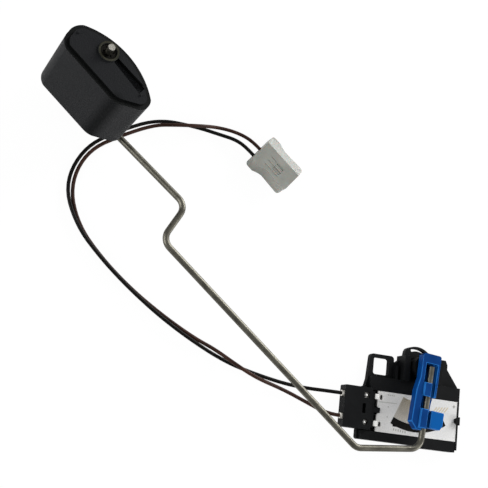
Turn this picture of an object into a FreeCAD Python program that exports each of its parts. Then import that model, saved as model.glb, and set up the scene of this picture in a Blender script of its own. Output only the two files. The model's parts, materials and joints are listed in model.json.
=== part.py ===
import FreeCAD, Part
import math
import os

V = FreeCAD.Vector

# Clearances between pieces, in millimetres
running_gap = 0.05
fit_gap = 0.1
rest_gap = 0.3
contact_gap = 0.05

# Moulded sender body
plate_thickness = 2.6
rim_height = 5.0
rim_wall = 1.2
seat_rail_height = 1.3
seat_rail_width = 3.0
bottom_strip = 4.7
bottom_step = 0.8
bottom_step_x = 5.4
side_wall = 0.8
band_width = 6.1
corner_radius = 1.0

# Ceramic resistor card
card_left = -19.1
card_top = -13.1
card_width = 40.3
card_height = 17.7
card_thickness = 1.1
print_thickness = 0.08
pad_on_card = 0.6
pad_width = 2.8
card_hole_width = 1.3
card_hole_height = 2.2
card_hole_from_edge = 1.15
card_notch_depth = 0.5
card_notch_height = 3.4

# Resistor band and its conductor fan, centred on the pivot
track_inner = 25.8
track_width = 3.2
track_start_deg = -114.4
track_end_deg = -57.0
fan_inner = 15.6
fan_count = 18
fan_pitch_deg = 1.6
fan_line_width = 0.24

# Terminal block on the left of the card
block_from_card = 2.0
block_step_length = 1.8
block_step_height = 6.2
block_length = 13.2
block_underside = 2.0
block_height = 7.4
block_top = -12.5
block_bottom = -30.6
tunnel_width = 3.2
tunnel_height = 3.0
tunnel_roof = 0.6
upper_wire_y = -16.3
lower_wire_y = -26.0
upper_pad_y = -15.8
lower_pad_y = -27.5
window_size = 2.6
window_from_card = 6.4
slot_from_card = 7.5
slot_width = 1.6
slot_height = 4.2
slot_depth = 2.0
nub_height = 2.3
nub_reach = 0.4

# Mounting tab with its window
tab_left = -22.9
tab_right = -11.2
tab_top = 3.3
tab_flare = 1.6
window_left = -21.2
window_right = -13.5
window_bottom = -5.7
window_top = 1.8
notch_y = 0.4
plate_left = -27.0

# Pivot ring, hub boss and stop posts
ring_outer = 9.3
ring_wall = 1.0
ring_start_deg = 25.0
ring_end_deg = 124.0
ring_gap_inner = 7.2
ring_gap_start_deg = 60.0
ring_gap_end_deg = 113.0
boss_radius = 4.6
boss_height = 10.2
spigot_radius = 2.5
spigot_depth = 8.7
bead_height = 0.8
bead_size = 0.22
post_width = 2.9
post_height = 8.0
left_post_x = -5.6
right_post_x = 7.8
post_bottom = -7.2
post_top = 4.0
shoulder_x = 16.3
shoulder_y = 3.1
shoulder_low_y = 1.0
shoulder_chamfer = 2.0
right_top_y = -6.4
latch_length = 3.6
latch_reach = 1.3
latch_thickness = 1.5

# Blue arm holder, drawn with the arm pointing down and then turned
arm_rest_deg = -5.0
rod_height = 14.0
web_under_rod = 1.1
wall_above_rod = 0.1
hub_back = boss_height + rest_gap
hub_low_y = -4.6
holder_left_top = -3.8
holder_left_bottom = -5.2
holder_right = 5.0
holder_top = 5.1
holder_bottom = -28.5
holder_foot = -2.4
block_right = 10.2
block_start = -19.1
block_end = -26.8
neck_right = 3.7
neck_start = -13.6
groove_width = 1.0
clip_reach = 0.5
upper_clip_top = -7.6
lower_clip_top = -19.1
pocket_left = 1.9
pocket_top = 0.9
clip_height = 0.7
lug_inner = 8.2
lug_outer = 10.2
lug_start_deg = -91.5
lug_end_deg = -59.5
lug_bottom = 6.3

# Float arm of round wire, with the places of its bends
rod_diameter = 2.8
rod_offset = 1.5
rod_start_y = -0.2
bend_radius = 5.5
jog_y = -36.3
arm_bends = [
    (-32.0, -39.2),
    (-127.3, 34.2),
    (-119.0, 50.1),
]
float_foot = (-168.5, 91.9)
float_tip = (-164.5, 97.3, 46.0)
float_bend_radius = 3.6

# Wiper under the holder
wiper_sheet = 0.3
wiper_pad_width = 5.6
wiper_pad_length = 5.0
wiper_pad_x = 6.4
wiper_pad_end = -24.2
finger_width = 1.2
finger_angle_deg = -80.0
button_radius = 0.7
button_inset = 0.75
rivet_radius = 0.6
rivet_head_radius = 1.0
rivet_head_height = 0.35
rivet_spacing = 3.4
rivet_grip = 2.0

# Float, drawn about its own axis
float_thickness = 34.4
float_above_foot = 6.6
float_bore_gap = 0.08
ledge_depth = 1.0
ledge_width = 1.9
collar_outer = 4.2
collar_inner = 3.4
collar_rise = 0.7
collar_sink = 0.6
retainer_radius = 3.1
retainer_thickness = 0.4
retainer_slots = 6
channel_width = 2.6
channel_depth = 2.0
channel_end = (15.6, -11.9)
pip_radius = 0.5
pip_places = [(-12.5, 4.5), (14.7, -14.5)]

# Outline of the float's face round its bore: ends of the straight sides and middles of the bows
flat_side = [(-16.1, -3.3), (2.7, -18.4)]
end_bow = (4.5, -19.5)
end_side = [(6.6, -20.1), (14.6, -20.3)]
corner_bow = (18.3, -18.3)
long_bow = [(19.3, -14.9), (6.2, 3.1), (-10.4, 8.9)]
tip_bow = [(-13.8, 7.5), (-16.2, 4.3), (-17.4, 0.3)]

# Two-way connector and its leads
wire_diameter = 1.6
wire_floor = 0.85
plug_origin = (-85.6, 85.2)
plug_turn_deg = -37.5
plug_length = 20.0
plug_height = 8.0
plug_half_width = 7.4
plug_flange = 1.2
plug_waist = 0.5
plug_flange_length = 4.5
plug_corner = 1.6
plug_bevel = 3.8
cavity_pitch = 4.3
cavity_centre = -2.75
cavity_size = 3.2
cavity_depth = 13.0
latch_pocket_start = 9.5
latch_pocket_length = 4.0
latch_pocket_width = 3.2
latch_pocket_depth = 0.5
blade_width = 1.4
blade_thickness = 0.8
barrel_length = 4.0
barrel_reach = 0.9
barrel_outer = 1.35
lead_height = 4.0
exit_height = 5.3

card_right = card_left + card_width
card_bottom = card_top - card_height
card_seat = plate_thickness + seat_rail_height
card_face = card_seat + card_thickness
plate_right = card_right + fit_gap + side_wall
plate_bottom = card_bottom - fit_gap - bottom_strip
block_step_face = card_left - block_from_card
block_right_face = block_step_face - block_step_length
block_left_face = block_right_face - block_length
rod_radius = rod_diameter / 2
holder_front = rod_height + rod_radius + wall_above_rod
holder_back = rod_height - rod_radius - web_under_rod
wire_radius = wire_diameter / 2
terminal_places = [(upper_wire_y, upper_pad_y), (lower_wire_y, lower_pad_y)]


def box(low, high):
    size = [b - a for a, b in zip(low, high)]
    return Part.makeBox(*size, V(*low))


def cylinder(x, y, z_low, z_high, radius):
    return Part.makeCylinder(radius, z_high - z_low, V(x, y, z_low))


def prism(points, z_low, z_high):
    corners = [V(x, y, z_low) for x, y in points]
    face = Part.Face(Part.makePolygon(corners + corners[:1]))
    return face.extrude(V(0, 0, z_high - z_low))


def polar(radius, angle_deg, z=0.0):
    angle = math.radians(angle_deg)
    return V(radius * math.cos(angle), radius * math.sin(angle), z)


def sector(r_low, r_high, start_deg, end_deg, z_low, z_high):
    middle_deg = (start_deg + end_deg) / 2
    outer = Part.Arc(polar(r_high, start_deg), polar(r_high, middle_deg), polar(r_high, end_deg))
    inner = Part.Arc(polar(r_low, end_deg), polar(r_low, middle_deg), polar(r_low, start_deg))
    sides = [
        Part.LineSegment(polar(r_high, end_deg), polar(r_low, end_deg)),
        Part.LineSegment(polar(r_low, start_deg), polar(r_high, start_deg)),
    ]
    edges = [outer.toShape(), sides[0].toShape(), inner.toShape(), sides[1].toShape()]
    face = Part.Face(Part.Wire(edges))
    face.translate(V(0, 0, z_low))
    return face.extrude(V(0, 0, z_high - z_low))


def upright_edges(shape, places, reach=0.6):
    """Edges along Z that stand at the given plan places."""
    found = []
    for edge in shape.Edges:
        ends = [vertex.Point for vertex in edge.Vertexes]
        if len(ends) != 2:
            continue
        if abs(ends[0].x - ends[1].x) > 1e-6 or abs(ends[0].y - ends[1].y) > 1e-6:
            continue
        for x, y in places:
            if abs(ends[0].x - x) < reach and abs(ends[0].y - y) < reach:
                found.append(edge)
                break
    return found


def round_upright(shape, places, radius):
    return shape.makeFillet(radius, upright_edges(shape, places, 1e-3))


def fuse(shapes):
    whole = shapes[0]
    if len(shapes) > 1:
        whole = shapes[0].multiFuse(shapes[1:])
    return whole.removeSplitter()


def path_wire(points, radii):
    """Straight runs joined by tangent arcs, one radius at each inner point."""
    edges = []
    start = points[0]
    for before, corner, after, radius in zip(points, points[1:], points[2:], radii):
        inward = (before - corner).normalize()
        outward = (after - corner).normalize()
        turn = math.pi - inward.getAngle(outward)
        reach = radius * math.tan(turn / 2)
        first = corner + inward * reach
        last = corner + outward * reach
        bisector = (inward + outward).normalize()
        middle = corner + bisector * (radius / math.cos(turn / 2) - radius)
        edges.append(Part.LineSegment(start, first).toShape())
        edges.append(Part.Arc(first, middle, last).toShape())
        start = last
    edges.append(Part.LineSegment(start, points[-1]).toShape())
    return Part.Wire(edges)


def tube(points, radii, radius):
    wire = path_wire(points, radii)
    heading = (points[1] - points[0]).normalize()
    section = Part.Wire(Part.makeCircle(radius, points[0], heading))
    return wire.makePipeShell([section], True, False), wire.Length


def cord_radii(points):
    """The largest bends that the two runs at each point allow."""
    radii = []
    for before, corner, after in zip(points, points[1:], points[2:]):
        turn = math.pi - (before - corner).getAngle(after - corner)
        shorter = min(before.distanceToPoint(corner), after.distanceToPoint(corner))
        radii.append(0.45 * shorter / math.tan(turn / 2))
    return radii


def turn_arm(shape):
    turned = shape.copy()
    turned.rotate(V(0, 0, 0), V(0, 0, 1), arm_rest_deg)
    return turned


def arm_point(x, y, z):
    angle = math.radians(arm_rest_deg)
    return V(x * math.cos(angle) - y * math.sin(angle), x * math.sin(angle) + y * math.cos(angle), z)


def make_body():
    """Black moulded body: plate, tab, pivot ring, card frame and terminal block."""
    left_bottom = plate_bottom + bottom_step
    ring_left = polar(ring_outer, ring_end_deg)
    ring_right = polar(ring_outer, ring_start_deg)
    outline = [
        (plate_left, left_bottom),
        (bottom_step_x, left_bottom),
        (bottom_step_x, plate_bottom),
        (plate_right, plate_bottom),
        (plate_right, right_top_y),
        (shoulder_x, shoulder_low_y),
        (shoulder_x, shoulder_y),
        (shoulder_x - shoulder_chamfer / 2, shoulder_y + shoulder_chamfer),
        (right_post_x + post_width, post_top + rim_wall),
        (ring_right.x, ring_right.y),
        (0.0, ring_right.y),
        (ring_left.x, ring_left.y),
        (ring_left.x - rim_wall / 2, ring_left.y - rim_wall),
        (left_post_x - rim_wall / 2, post_top),
        (tab_right + rim_wall / 2, notch_y),
        (tab_right, notch_y + rim_wall / 2),
        (tab_right, tab_top),
        (tab_left, tab_top),
        (tab_left - tab_flare / 2, window_bottom - 2 * rim_wall),
        (tab_left - tab_flare, block_top + rim_wall),
        (plate_left, block_top),
    ]
    plate = prism(outline, 0, plate_thickness)
    ring = sector(boss_radius / 2, ring_outer, ring_start_deg, ring_end_deg, 0, plate_thickness)
    plate = fuse([plate, ring])
    plate = round_upright(plate, [(tab_right, tab_top), (tab_left, tab_top)], 1.6 * corner_radius)
    plate_corners = [(plate_right, plate_bottom), (plate_left, left_bottom)]
    plate = round_upright(plate, plate_corners, corner_radius)

    pieces = [plate]
    strip_top = card_bottom - fit_gap
    strip_left = plate_left + corner_radius
    pieces.append(box((strip_left, left_bottom, 0), (bottom_step_x, strip_top, card_face)))
    pieces.append(box((bottom_step_x, plate_bottom, 0), (plate_right - corner_radius, strip_top, card_face)))
    band_bottom = card_top + fit_gap
    band_top = band_bottom + band_width
    pieces.append(box((block_right_face, band_bottom, 0), (plate_right, band_top, rim_height)))
    side_wall_low = plate_bottom + corner_radius
    pieces.append(box((card_right + fit_gap, side_wall_low, 0), (plate_right, band_bottom, card_seat)))
    for rail_x in (card_left + seat_rail_width, card_right - 2 * seat_rail_width):
        rail_high = (rail_x + seat_rail_width, band_bottom, card_seat)
        pieces.append(box((rail_x, strip_top, 0), rail_high))
    tab_rib_high = (tab_right + rim_wall, notch_y - rim_wall, rim_height)
    pieces.append(box((tab_right, band_top - fit_gap, 0), tab_rib_high))

    boss = cylinder(0, 0, 0, boss_height, boss_radius)
    pieces.append(boss)
    left_post_low = (left_post_x - post_width, post_bottom, 0)
    pieces.append(box(left_post_low, (left_post_x, post_top, post_height)))
    right_post_high = (right_post_x + post_width, post_top, post_height)
    pieces.append(box((right_post_x, post_bottom, 0), right_post_high))
    for angle_deg in (-90.0, 20.0, 160.0):
        gusset = box((0, -rim_wall / 2, 0), (boss_radius + rim_wall, rim_wall / 2, rim_height))
        gusset.rotate(V(0, 0, 0), V(0, 0, 1), angle_deg)
        pieces.append(gusset)

    block = box((block_left_face, block_bottom, block_underside), (block_right_face, block_top, block_height))
    block_corners = [(block_left_face, block_bottom), (block_left_face, block_top)]
    block = round_upright(block, block_corners, corner_radius / 2)
    pieces.append(block)
    step_low = (block_right_face - rim_wall, block_bottom + rim_wall, 0)
    pieces.append(box(step_low, (block_step_face, block_top - rim_wall, block_step_height)))

    latch_y = (card_top + card_bottom) / 2 + 0.3
    latch_base = card_face
    latch_outer = plate_right
    latch = prism(
        [
            (latch_outer, latch_y - latch_length / 2),
            (latch_outer, latch_y + latch_length / 2),
            (card_right - latch_reach, latch_y + latch_length / 4),
            (card_right - latch_reach, latch_y - latch_length / 4),
        ],
        latch_base,
        latch_base + latch_thickness,
    )
    latch_riser = box(
        (card_right + fit_gap, latch_y - latch_length / 2, 0),
        (plate_right, latch_y + latch_length / 2, latch_base + latch_thickness),
    )
    pieces.append(latch)
    pieces.append(latch_riser)
    nub_low = (block_step_face - rim_wall, latch_y - nub_height / 2, latch_base)
    nub_high = (card_left + card_notch_depth + nub_reach, latch_y + nub_height / 2, block_step_height)
    pieces.append(box(nub_low, nub_high))
    body = fuse(pieces)

    window = box((window_left, window_bottom, -1), (window_right, window_top, rim_height + 1))
    window_corners = [(x, y) for x in (window_left, window_right) for y in (window_bottom, window_top)]
    window = round_upright(window, window_corners, corner_radius)
    ring_gap_outer = ring_outer - ring_wall
    ring_gap = sector(ring_gap_inner, ring_gap_outer, ring_gap_start_deg, ring_gap_end_deg, -1, rim_height)
    bore_bottom = hub_back - spigot_depth - rest_gap
    bore = cylinder(0, 0, bore_bottom, boss_height + 1, spigot_radius + running_gap)
    groove_low = bore_bottom + rest_gap
    groove_radius = spigot_radius + bead_size + running_gap
    groove = cylinder(0, 0, groove_low, groove_low + bead_height + 2 * rest_gap, groove_radius)
    cuts = [window, ring_gap, bore, groove]
    tunnel_top = block_height - tunnel_roof
    tunnel_floor = tunnel_top - tunnel_height
    half_tongue = pad_width / 2 - rest_gap + fit_gap
    window_x = card_left - window_from_card
    half = window_size / 2
    for wire_y, pad_y in terminal_places:
        tunnel_low = (block_left_face - 1, wire_y - tunnel_width / 2, tunnel_floor)
        tunnel_high = (block_right_face - rim_wall, wire_y + tunnel_width / 2, tunnel_top)
        cuts.append(box(tunnel_low, tunnel_high))
        tongue_low = (block_left_face + barrel_length, pad_y - half_tongue, card_face - fit_gap)
        tongue_high = (block_step_face + 1, pad_y + half_tongue, card_face + 2 * wiper_sheet + fit_gap)
        cuts.append(box(tongue_low, tongue_high))
    well_low = (window_x - half, upper_pad_y - half, tunnel_floor + 1)
    cuts.append(box(well_low, (window_x + half, upper_pad_y + half, block_height + 1)))
    cuts.append(cylinder(window_x, lower_pad_y, tunnel_floor + 1, block_height + 1, half))
    slot_x = card_left - slot_from_card
    slot_low = (slot_x - slot_width / 2, latch_y - slot_height / 2, block_height - slot_depth)
    cuts.append(box(slot_low, (slot_x + slot_width / 2, latch_y + slot_height / 2, block_height + 1)))
    return body.cut(fuse(cuts)).removeSplitter()


def make_card():
    """Ceramic card with a notch for the snap nub and two oval holes beside the pads."""
    card = box((card_left, card_bottom, card_seat), (card_right, card_top, card_face))
    notch_middle = (card_top + card_bottom) / 2 + 0.3
    step_low = (card_left - 1, notch_middle - card_notch_height / 2, 0)
    step_high = (card_left + card_notch_depth, notch_middle + card_notch_height / 2, rim_height + 1)
    cuts = [box(step_low, step_high)]
    low_x = card_left + card_hole_from_edge
    high_x = low_x + card_hole_width
    for wire_y, pad_y in terminal_places:
        low_y = pad_y - card_hole_height / 2
        high_y = pad_y + card_hole_height / 2
        hole = box((low_x, low_y, 0), (high_x, high_y, rim_height + 1))
        corners = [(x, y) for x in (low_x, high_x) for y in (low_y, high_y)]
        cuts.append(round_upright(hole, corners, 0.45 * card_hole_width))
    return card.cut(fuse(cuts))


def make_track():
    track_outer = track_inner + track_width
    track_top = card_face + print_thickness
    return sector(track_inner, track_outer, track_start_deg, track_end_deg, card_face, track_top)


def make_fan():
    """Printed conductor lines that meet the resistor band one by one."""
    lines = []
    for index in range(fan_count):
        line = box(
            (fan_inner, -fan_line_width / 2, card_face),
            (track_inner - fit_gap, fan_line_width / 2, card_face + print_thickness),
        )
        line.rotate(V(0, 0, 0), V(0, 0, 1), track_start_deg + (index + 0.5) * fan_pitch_deg)
        lines.append(line)
    return Part.makeCompound(lines)


def make_terminal(wire_y, pad_y):
    """Stamped terminal: crimp barrel on the lead and a tongue that bears on the card."""
    barrel_start = V(block_left_face - barrel_reach, wire_y, exit_height)
    barrel = Part.makeCylinder(barrel_outer, barrel_length, barrel_start, V(1, 0, 0))
    half_tongue = pad_width / 2 - rest_gap
    half_neck = tunnel_width / 2 - rest_gap
    neck_end = block_left_face + barrel_length + 2 * barrel_reach
    neck_low = (barrel_start.x + barrel_length / 2, wire_y - half_neck, card_face)
    neck_high = (neck_end, wire_y + half_neck, card_face + 2 * wiper_sheet)
    tongue_low = (block_left_face + barrel_length + fit_gap, pad_y - half_tongue, card_face)
    tongue_high = (card_left + pad_on_card, pad_y + half_tongue, card_face + 2 * wiper_sheet)
    return fuse([barrel, box(neck_low, neck_high), box(tongue_low, tongue_high)]), barrel_start


def rivet_shanks():
    shanks = []
    low = holder_back - wiper_sheet - rivet_head_height
    for side in (-1, 1):
        x = wiper_pad_x + side * rivet_spacing / 2
        y = wiper_pad_end + wiper_pad_length / 2
        shanks.append(cylinder(x, y, low, holder_back + rivet_grip, rivet_radius))
    return shanks


def make_holder():
    """Blue holder: hub block, open rod groove with two clips, side wall and wiper block."""
    wall_inner = rod_offset + rod_radius + groove_width
    outline = [
        (holder_left_top, holder_top),
        (holder_right, holder_top),
        (holder_right, neck_start),
        (neck_right, neck_start),
        (neck_right, block_start),
        (block_right, block_start),
        (block_right, block_end + 2 * corner_radius),
        (block_right - corner_radius, block_end),
        (wall_inner, block_end),
        (rod_offset - rod_radius, holder_bottom),
        (holder_foot, holder_bottom),
        (holder_left_bottom, holder_bottom + 3 * corner_radius),
        (holder_left_bottom + 0.4 * clip_height, neck_start + 2 * corner_radius),
        (holder_left_top, hub_low_y - corner_radius),
    ]
    front = prism(outline, holder_back, holder_front)
    front = round_upright(front, [(holder_left_top, holder_top), (holder_right, holder_top)], corner_radius)
    hub_low = (holder_left_top + rest_gap, hub_low_y, hub_back)
    hub = box(hub_low, (holder_right - rest_gap, holder_top - rest_gap, holder_back + 1))
    spigot = cylinder(0, 0, hub_back - spigot_depth, hub_back, spigot_radius)
    bead_low = hub_back - spigot_depth + rest_gap
    bead = cylinder(0, 0, bead_low, bead_low + bead_height, spigot_radius + bead_size)
    lug = sector(lug_inner, lug_outer, lug_start_deg, lug_end_deg, lug_bottom, holder_back + 1)
    slot_low = rod_offset - rod_radius - running_gap
    slot_high = rod_offset + rod_radius + running_gap
    clips = []
    for clip_top, clip_end in ((upper_clip_top, neck_start), (lower_clip_top, holder_bottom + corner_radius)):
        clip_low = (slot_low - pocket_left + rest_gap, clip_end, holder_back + 1)
        clips.append(box(clip_low, (rod_offset + clip_reach, clip_top, holder_front + clip_height)))
    holder = fuse([front, hub, spigot, bead, lug])
    slot_end = holder_bottom - 1
    slot_floor = rod_height - rod_radius - running_gap
    corners = [
        V(slot_low, slot_end, rod_height),
        V(slot_low, slot_end, holder_front + 1),
        V(slot_high, slot_end, holder_front + 1),
        V(slot_high, slot_end, rod_height),
    ]
    profile = [Part.LineSegment(a, b).toShape() for a, b in zip(corners, corners[1:])]
    profile.append(Part.Arc(corners[3], V(rod_offset, slot_end, slot_floor), corners[0]).toShape())
    channel = Part.Face(Part.Wire(profile)).extrude(V(0, rod_start_y + rest_gap - slot_end, 0))
    groove = box((rod_offset, slot_end, rod_height), (wall_inner, pocket_top, holder_front + 1))
    opening_left = slot_low - pocket_left
    pocket = box((opening_left, upper_clip_top, rod_height - 1), (slot_high, pocket_top, holder_front + 1))
    view = box((opening_left, lower_clip_top, rod_height - 1), (slot_high, neck_start, holder_front + 1))
    holder = holder.cut(fuse([channel, groove, pocket, view] + rivet_shanks()))
    bore_profile = Part.makeCircle(rod_radius + running_gap, V(rod_offset, slot_end, rod_height), V(0, 1, 0))
    bore = Part.Face(Part.Wire(bore_profile)).extrude(V(0, rod_start_y + rest_gap - slot_end, 0))
    return fuse([holder] + [clip.cut(bore) for clip in clips]).removeSplitter()


def finger_tip(radius, z):
    return polar(radius, finger_angle_deg, z)


def wiper_buttons_at():
    return (track_inner + button_inset, (track_inner + track_width) - button_inset)


def make_wiper():
    """Nickel-silver blade: a pad under the holder and two fingers that reach down."""
    top = holder_back
    low = top - wiper_sheet
    pad = box(
        (wiper_pad_x - wiper_pad_width / 2, wiper_pad_end, low),
        (wiper_pad_x + wiper_pad_width / 2, wiper_pad_end + wiper_pad_length, top),
    )
    pieces = [pad]
    button_top = card_face + print_thickness + contact_gap + button_radius
    for side, radius in zip((-1, 1), wiper_buttons_at()):
        tip = finger_tip(radius, 0)
        x_middle = tip.x
        profile = [
            V(0, wiper_pad_end + wiper_sheet, top),
            V(0, wiper_pad_end + wiper_sheet, low),
            V(0, tip.y + button_radius, button_top),
            V(0, tip.y - button_radius, button_top),
            V(0, tip.y - button_radius, button_top + wiper_sheet),
            V(0, tip.y + button_radius, button_top + wiper_sheet),
        ]
        face = Part.Face(Part.makePolygon(profile + profile[:1]))
        finger = face.extrude(V(finger_width, 0, 0))
        finger.translate(V(x_middle - finger_width / 2 + side * (finger_width / 2 + rest_gap), 0, 0))
        pieces.append(finger)
    return fuse(pieces).cut(fuse(rivet_shanks()))


def make_buttons():
    buttons = []
    base = card_face + print_thickness + contact_gap
    for side, radius in zip((-1, 1), wiper_buttons_at()):
        tip = finger_tip(radius, 0)
        x = tip.x + side * (finger_width / 2 + rest_gap)
        dome = Part.makeSphere(button_radius, V(x, tip.y, base + button_radius))
        dome = dome.common(box((x - 1, tip.y - 1, base - 1), (x + 1, tip.y + 1, base + button_radius)))
        buttons.append(dome)
    return Part.makeCompound(buttons)


def make_rivets():
    """Two rivets whose heads hold the wiper pad to the holder's underside."""
    rivets = []
    head_top = holder_back - wiper_sheet
    for shank in rivet_shanks():
        centre = shank.BoundBox.Center
        head = cylinder(centre.x, centre.y, head_top - rivet_head_height, head_top, rivet_head_radius)
        rivets.append(fuse([head, shank]))
    return Part.makeCompound(rivets)


def arm_route():
    start = arm_point(rod_offset, rod_start_y, rod_height)
    jog = arm_point(rod_offset, jog_y, rod_height)
    bends = [V(x, y, rod_height) for x, y in arm_bends]
    foot = V(float_foot[0], float_foot[1], rod_radius)
    return [start, jog] + bends + [foot, V(*float_tip)]


def make_arm():
    """Float arm: one wire bent four times in plan and then up through the float."""
    points = arm_route()
    radii = [bend_radius] * (len(points) - 3) + [float_bend_radius]
    rod, length = tube(points, radii, rod_radius)
    print("float arm length", round(length, 1), "volume", round(rod.Volume, 1))
    print("section times length", round(math.pi * rod_radius ** 2 * length, 1))
    return rod


def to_float_axis(shape):
    """Move a piece from the float's own frame to the leaning end of the arm."""
    foot = V(float_foot[0], float_foot[1], rod_radius)
    axis = V(*float_tip) - foot
    turn = FreeCAD.Rotation(V(0, 0, 1), axis)
    placed = shape.copy()
    placed.Placement = FreeCAD.Placement(foot, turn).multiply(placed.Placement)
    return placed


def float_face():
    """Outline of the float's face: a long flat side, two short ends and a bowed side."""
    flat_start, flat_stop = [V(x, y, 0) for x, y in flat_side]
    end_start, end_stop = [V(x, y, 0) for x, y in end_side]
    bow_start, bow_middle, bow_end = [V(x, y, 0) for x, y in long_bow]
    tip_start, tip_middle, tip_end = [V(x, y, 0) for x, y in tip_bow]
    edges = [
        Part.LineSegment(flat_start, flat_stop).toShape(),
        Part.Arc(flat_stop, V(end_bow[0], end_bow[1], 0), end_start).toShape(),
        Part.LineSegment(end_start, end_stop).toShape(),
        Part.Arc(end_stop, V(corner_bow[0], corner_bow[1], 0), bow_start).toShape(),
        Part.Arc(bow_start, bow_middle, bow_end).toShape(),
        Part.Arc(bow_end, tip_start, tip_middle).toShape(),
        Part.Arc(tip_middle, tip_end, flat_start).toShape(),
    ]
    return Part.Wire(edges)


def make_float():
    """Closed-cell float with a stepped face, a collar round the bore and a rod channel."""
    outline = float_face()
    bottom = float_above_foot
    top = bottom + float_thickness
    body = Part.Face(outline).extrude(V(0, 0, float_thickness - ledge_depth))
    inner = outline.makeOffset2D(-ledge_width)
    plateau = Part.Face(inner).extrude(V(0, 0, float_thickness))
    body = body.fuse(plateau)
    body.translate(V(0, 0, bottom))
    collar = cylinder(0, 0, top - 1, top + collar_rise, collar_outer)
    pips = [cylinder(x, y, top - 1, top + 0.5, pip_radius) for x, y in pip_places]
    body = fuse([body, collar] + pips)
    reach = math.hypot(channel_end[0], channel_end[1])
    half = channel_width / 2
    channel_sides = [(collar_outer, -half), (reach, -2 * half), (reach, half), (collar_outer, half)]
    channel = prism(channel_sides, top - channel_depth, top + 1)
    channel.rotate(V(0, 0, 0), V(0, 0, 1), math.degrees(math.atan2(channel_end[1], channel_end[0])))
    socket = cylinder(0, 0, top - collar_sink, top + 1, collar_inner)
    bore = cylinder(0, 0, bottom - 1, top + 1, rod_radius + float_bore_gap)
    return body.cut(fuse([channel, socket, bore])).removeSplitter()


def make_retainer():
    """Push-on star washer that grips the arm's tip above the float."""
    low = float_above_foot + float_thickness - collar_sink + rest_gap
    disc = cylinder(0, 0, low, low + retainer_thickness, retainer_radius)
    bore = cylinder(0, 0, low - 1, low + 1, rod_radius)
    cuts = [bore]
    for index in range(retainer_slots):
        slot = box((0, -0.25, low - 1), (0.75 * retainer_radius, 0.25, low + 1))
        slot.rotate(V(0, 0, 0), V(0, 0, 1), 360.0 * index / retainer_slots)
        cuts.append(slot)
    return disc.cut(fuse(cuts))


def plug_place(shape):
    placed = shape.copy()
    placed.rotate(V(0, 0, 0), V(0, 0, 1), plug_turn_deg)
    placed.translate(V(plug_origin[0], plug_origin[1], 0))
    return placed


def cavity_v(side):
    return cavity_centre + side * cavity_pitch / 2


def make_plug():
    """Natural nylon housing: wide rear flange, waist, bevelled side and two cavities."""
    wide = plug_half_width + plug_flange
    flange_end = plug_flange_length
    waist = 2 * plug_flange_length
    narrow = plug_half_width - plug_waist
    bow = plug_half_width + plug_waist / 5
    edges = [
        Part.LineSegment(V(0, -wide, 0), V(flange_end, -wide, 0)),
        Part.Arc(V(flange_end, -wide, 0), V(0.75 * waist, -bow, 0), V(waist, -narrow, 0)),
        Part.LineSegment(V(waist, -narrow, 0), V(plug_length, -plug_half_width, 0)),
        Part.LineSegment(V(plug_length, -plug_half_width, 0), V(plug_length, plug_half_width, 0)),
        Part.LineSegment(V(plug_length, plug_half_width, 0), V(waist, narrow, 0)),
        Part.Arc(V(waist, narrow, 0), V(0.75 * waist, bow, 0), V(flange_end, wide, 0)),
        Part.LineSegment(V(flange_end, wide, 0), V(0, wide, 0)),
        Part.LineSegment(V(0, wide, 0), V(0, -wide, 0)),
    ]
    face = Part.Face(Part.Wire([edge.toShape() for edge in edges]))
    housing = face.extrude(V(0, 0, plug_height))
    corners = [(0, -wide), (0, wide), (plug_length, -plug_half_width), (plug_length, plug_half_width)]
    housing = round_upright(housing, corners, plug_corner)
    wedge_face = Part.Face(
        Part.makePolygon(
            [
                V(-2, wide + 0.1, plug_height - plug_bevel),
                V(-2, wide + 0.1, plug_height + 1),
                V(-2, wide - plug_bevel - 1.2, plug_height + 1),
                V(-2, wide - plug_bevel - 0.3, plug_height),
                V(-2, wide + 0.1, plug_height - plug_bevel),
            ]
        )
    )
    wedge = wedge_face.extrude(V(plug_length + 4, 0, 0))
    cuts = [wedge]
    for side in (-1, 1):
        v = cavity_v(side)
        cuts.append(
            box(
                (plug_length - cavity_depth, v - cavity_size / 2, lead_height - cavity_size / 2),
                (plug_length + 1, v + cavity_size / 2, lead_height + cavity_size / 2),
            )
        )
        hole = Part.makeCylinder(wire_radius + running_gap, plug_length, V(-1, v, lead_height), V(1, 0, 0))
        cuts.append(hole)
    latch = box(
        (latch_pocket_start, cavity_centre - latch_pocket_width / 2, plug_height - latch_pocket_depth),
        (latch_pocket_start + latch_pocket_length, cavity_centre + latch_pocket_width / 2, plug_height + 1),
    )
    cuts.append(latch)
    return plug_place(housing.cut(fuse(cuts)).removeSplitter())


def make_contact(side):
    v = cavity_v(side)
    barrel = Part.makeCylinder(wire_radius, plug_length - cavity_depth, V(0, v, lead_height), V(1, 0, 0))
    blade = box(
        (plug_length - cavity_depth - 0.5, v - blade_width / 2, lead_height - blade_thickness / 2),
        (plug_length - 2.0, v + blade_width / 2, lead_height + blade_thickness / 2),
    )
    return plug_place(fuse([barrel, blade]))


def plug_entry(side):
    angle = math.radians(plug_turn_deg)
    v = cavity_v(side)
    return V(plug_origin[0] - v * math.sin(angle), plug_origin[1] + v * math.cos(angle), lead_height)


def make_lead(name, start, route, end):
    points = [start] + [V(*point) for point in route] + [end]
    radii = cord_radii(points)
    lead, length = tube(points, radii, wire_radius)
    print(name, "length", round(length, 1), "smallest bend", round(min(radii), 1))
    print("  volume over section times length", round(lead.Volume / (math.pi * wire_radius ** 2 * length), 4))
    runs = [a.distanceToPoint(b) for a, b in zip(points, points[1:])]
    print("  runs", [round(run, 1) for run in runs])
    print("  radii", [round(radius, 1) for radius in radii])
    return lead


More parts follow.
